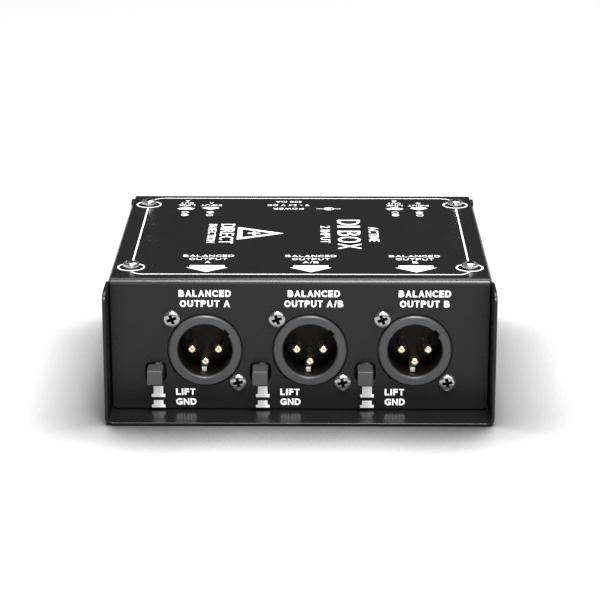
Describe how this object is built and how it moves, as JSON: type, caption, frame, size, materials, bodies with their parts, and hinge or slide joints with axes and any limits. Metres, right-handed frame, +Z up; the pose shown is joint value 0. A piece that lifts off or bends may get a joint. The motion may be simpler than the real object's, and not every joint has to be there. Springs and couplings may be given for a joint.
{
  "type": "direct injection box",
  "caption": "Active direct injection box: folded steel case with a front guard, male 3-pin outputs with ground-lift push buttons, stacked phone jacks and a power inlet at the rear.",
  "frame": {"origin": "middle of the bounding box's base, on the surface the box stands on", "axes": "+Z up, outputs and buttons towards -Y, jacks and power inlet towards +Y, +X to the right seen from the outputs"},
  "size_m": [0.116, 0.1174, 0.0441],
  "materials": {
    "black_coat": "satin",
    "bright_steel": "polished",
    "dark_nickel": "polished",
    "grey_plastic": "matte",
    "black_plastic": "matte",
    "button_plastic": "matte",
    "gold": "polished",
    "silver": "satin",
    "board_green": "satin",
    "capacitor_sleeve": "satin",
    "copper": "satin",
    "print_white": "matte"
  },
  "bodies": {
    "case": {"base_shell": "black_coat", "top_cover": "black_coat", "cover_screw_front_left": "bright_steel", "cover_screw_front_right": "bright_steel", "cover_screw_rear_left": "bright_steel", "cover_screw_rear_right": "bright_steel", "output_a_housing": "grey_plastic", "output_a_pin_1": "gold", "output_a_pin_2": "gold", "output_a_pin_3": "gold", "output_a_ground_contact": "silver", "output_a_screw_upper": "dark_nickel", "output_a_screw_lower": "dark_nickel", "output_ab_housing": "grey_plastic", "output_ab_pin_1": "gold", "output_ab_pin_2": "gold", "output_ab_pin_3": "gold", "output_ab_ground_contact": "silver", "output_ab_screw_upper": "dark_nickel", "output_ab_screw_lower": "dark_nickel", "output_b_housing": "grey_plastic", "output_b_pin_1": "gold", "output_b_pin_2": "gold", "output_b_pin_3": "gold", "output_b_ground_contact": "silver", "output_b_screw_upper": "dark_nickel", "output_b_screw_lower": "dark_nickel", "lift_a_spring": "silver", "lift_a_switch_body": "black_plastic", "lift_ab_spring": "silver", "lift_ab_switch_body": "black_plastic", "lift_b_spring": "silver", "lift_b_switch_body": "black_plastic", "jacks_a_housing": "black_plastic", "input_a_nut": "silver", "input_a_tip_contact": "silver", "link_a_nut": "silver", "link_a_tip_contact": "silver", "jacks_b_housing": "black_plastic", "input_b_nut": "silver", "input_b_tip_contact": "silver", "link_b_nut": "silver", "link_b_tip_contact": "silver", "power_inlet_body": "black_plastic", "power_inlet_pin": "silver", "power_inlet_leaf": "silver", "main_board": "board_green", "amplifier_chip_a": "black_plastic", "amplifier_chip_b": "black_plastic", "amplifier_chip_sum": "black_plastic", "capacitor_1": "capacitor_sleeve", "capacitor_2": "capacitor_sleeve", "capacitor_3": "capacitor_sleeve", "capacitor_4": "capacitor_sleeve", "voltage_regulator": "black_plastic", "filter_coil": "copper"},
    "lift_a_button": {"lift_a_button": "button_plastic"},
    "lift_ab_button": {"lift_ab_button": "button_plastic"},
    "lift_b_button": {"lift_b_button": "button_plastic"}
  },
  "joints": [
    {"name": "lift_a_travel", "type": "slide", "parent": "case", "child": "lift_a_button", "axis": [0, 1, 0], "range_m": [0, 0.003], "stiffness_N_per_m": 500, "springref_m": -0.001, "deforming": ["lift_a_spring"]},
    {"name": "lift_ab_travel", "type": "slide", "parent": "case", "child": "lift_ab_button", "axis": [0, 1, 0], "range_m": [0, 0.003], "stiffness_N_per_m": 500, "springref_m": -0.001, "deforming": ["lift_ab_spring"]},
    {"name": "lift_b_travel", "type": "slide", "parent": "case", "child": "lift_b_button", "axis": [0, 1, 0], "range_m": [0, 0.003], "stiffness_N_per_m": 500, "springref_m": -0.001, "deforming": ["lift_b_spring"]}
  ]
}
